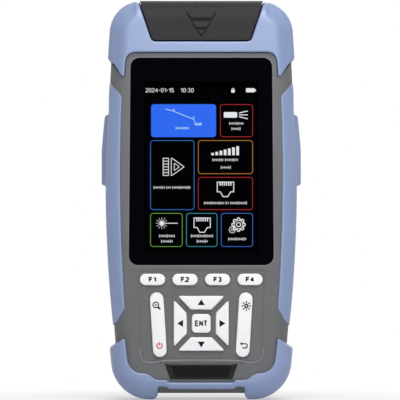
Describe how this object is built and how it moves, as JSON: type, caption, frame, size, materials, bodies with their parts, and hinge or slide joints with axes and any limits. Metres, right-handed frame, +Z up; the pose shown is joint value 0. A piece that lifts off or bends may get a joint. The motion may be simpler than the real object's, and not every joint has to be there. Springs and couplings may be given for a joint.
{
  "type": "optical time domain reflectometer",
  "caption": "Pocket handheld optical time domain reflectometer with a portrait screen, keypad, rubber bumpers, flip-up port cover and folding stand.",
  "frame": {"origin": "middle of the footprint, on the plane that the two rubber feet stand on", "axes": "+Z up along the instrument's length, +X to the user's right, the screen and keypad face -Y"},
  "size_m": [0.0864, 0.043, 0.172],
  "materials": {
    "case_grey": "fine moulded grain",
    "rubber_blue": "soft matt rubber",
    "cover_black": "matt",
    "window_black": "clear with a black border",
    "tape_black": "matt",
    "panel_glass": "smooth",
    "light_white": "smooth",
    "ribbon_amber": "smooth",
    "plate_black": "satin",
    "key_white": "satin",
    "mat_grey": "matt",
    "board_green": "solder mask",
    "switch_black": "matt",
    "shield_tin": "tinned",
    "module_metal": "anodised",
    "reel_black": "matt",
    "fibre_yellow": "smooth",
    "cell_sleeve": "shrink sleeve",
    "contact_nickel": "nickel plate",
    "tray_black": "matt",
    "port_nickel": "nickel plate",
    "ceramic_white": "polished",
    "jack_black": "satin",
    "contact_gold": "gold plate",
    "lens_clear": "clear",
    "led_yellow": "smooth",
    "screw_black": "black oxide",
    "screw_steel": "plain",
    "stand_grey": "fine moulded grain"
  },
  "bodies": {
    "instrument": {"front_case": "case_grey", "rear_case": "case_grey", "case_seal": "tape_black", "top_bumper": "rubber_blue", "left_grip": "rubber_blue", "right_grip": "rubber_blue", "bottom_bumper": "rubber_blue", "display_window": "window_black", "window_tape": "tape_black", "display_panel": "panel_glass", "display_light": "light_white", "display_ribbon": "ribbon_amber", "name_plate": "plate_black", "keypad_mat": "mat_grey", "key_board": "board_green", "key_switches": "switch_black", "main_board": "board_green", "board_link": "switch_black", "processor_shields": "shield_tin", "laser_module": "module_metal", "fibre_reel": "reel_black", "launch_fibre": "fibre_yellow", "test_fibre": "fibre_yellow", "buzzer": "switch_black", "battery_cells": "cell_sleeve", "battery_holder": "reel_black", "battery_contacts": "contact_nickel", "port_tray": "tray_black", "port_board": "board_green", "otdr_adapter": "port_nickel", "otdr_sleeve": "ceramic_white", "vfl_adapter": "port_nickel", "vfl_laser": "contact_gold", "opm_adapter": "port_nickel", "opm_detector": "shield_tin", "network_jack": "jack_black", "jack_shield": "shield_tin", "jack_contacts": "contact_gold", "charge_socket": "shield_tin", "charge_tongue": "switch_black", "torch_lens": "lens_clear", "torch_led": "led_yellow", "case_screws": "screw_black", "board_screws": "screw_steel", "adapter_screws": "screw_black", "stand_pin": "screw_steel"},
    "key_f1_part": {"key_f1": "key_white"},
    "key_f2_part": {"key_f2": "key_white"},
    "key_f3_part": {"key_f3": "key_white"},
    "key_f4_part": {"key_f4": "key_white"},
    "key_up_part": {"key_up": "key_white"},
    "key_right_part": {"key_right": "key_white"},
    "key_down_part": {"key_down": "key_white"},
    "key_left_part": {"key_left": "key_white"},
    "key_enter_part": {"key_enter": "key_white"},
    "left_rocker_part": {"left_rocker": "key_white"},
    "right_rocker_part": {"right_rocker": "key_white"},
    "dust_cover_part": {"dust_cover": "cover_black"},
    "stand_part": {"stand": "stand_grey"}
  },
  "joints": [
    {"name": "key_f1_press", "type": "slide", "parent": "instrument", "child": "key_f1_part", "axis": [0, 1, 0], "range_m": [0, 0.0008], "stiffness_N_per_m": 1500},
    {"name": "key_f2_press", "type": "slide", "parent": "instrument", "child": "key_f2_part", "axis": [0, 1, 0], "range_m": [0, 0.0008], "stiffness_N_per_m": 1500},
    {"name": "key_f3_press", "type": "slide", "parent": "instrument", "child": "key_f3_part", "axis": [0, 1, 0], "range_m": [0, 0.0008], "stiffness_N_per_m": 1500},
    {"name": "key_f4_press", "type": "slide", "parent": "instrument", "child": "key_f4_part", "axis": [0, 1, 0], "range_m": [0, 0.0008], "stiffness_N_per_m": 1500},
    {"name": "key_up_press", "type": "slide", "parent": "instrument", "child": "key_up_part", "axis": [0, 1, 0], "range_m": [0, 0.0008], "stiffness_N_per_m": 1500},
    {"name": "key_right_press", "type": "slide", "parent": "instrument", "child": "key_right_part", "axis": [0, 1, 0], "range_m": [0, 0.0008], "stiffness_N_per_m": 1500},
    {"name": "key_down_press", "type": "slide", "parent": "instrument", "child": "key_down_part", "axis": [0, 1, 0], "range_m": [0, 0.0008], "stiffness_N_per_m": 1500},
    {"name": "key_left_press", "type": "slide", "parent": "instrument", "child": "key_left_part", "axis": [0, 1, 0], "range_m": [0, 0.0008], "stiffness_N_per_m": 1500},
    {"name": "key_enter_press", "type": "slide", "parent": "instrument", "child": "key_enter_part", "axis": [0, 1, 0], "range_m": [0, 0.0008], "stiffness_N_per_m": 1500},
    {"name": "left_rocker_tilt", "type": "hinge", "parent": "instrument", "child": "left_rocker_part", "pos_m": [-0.0185, -0.01535, 0.0323], "axis": [0.9981, 0, 0.061], "range_deg": [-2.2, 2.2], "stiffness_Nm_per_rad": 0.45},
    {"name": "right_rocker_tilt", "type": "hinge", "parent": "instrument", "child": "right_rocker_part", "pos_m": [0.0185, -0.01535, 0.0323], "axis": [0.9981, 0, -0.061], "range_deg": [-2.2, 2.2], "stiffness_Nm_per_rad": 0.45},
    {"name": "dust_cover_hinge", "type": "hinge", "parent": "instrument", "child": "dust_cover_part", "pos_m": [0, 0.0156, 0.1705], "axis": [-1, 0, 0], "range_deg": [0, 110]},
    {"name": "stand_hinge", "type": "hinge", "parent": "instrument", "child": "stand_part", "pos_m": [0, 0.0181, 0.117], "axis": [1, 0, 0], "range_deg": [0, 60]}
  ]
}
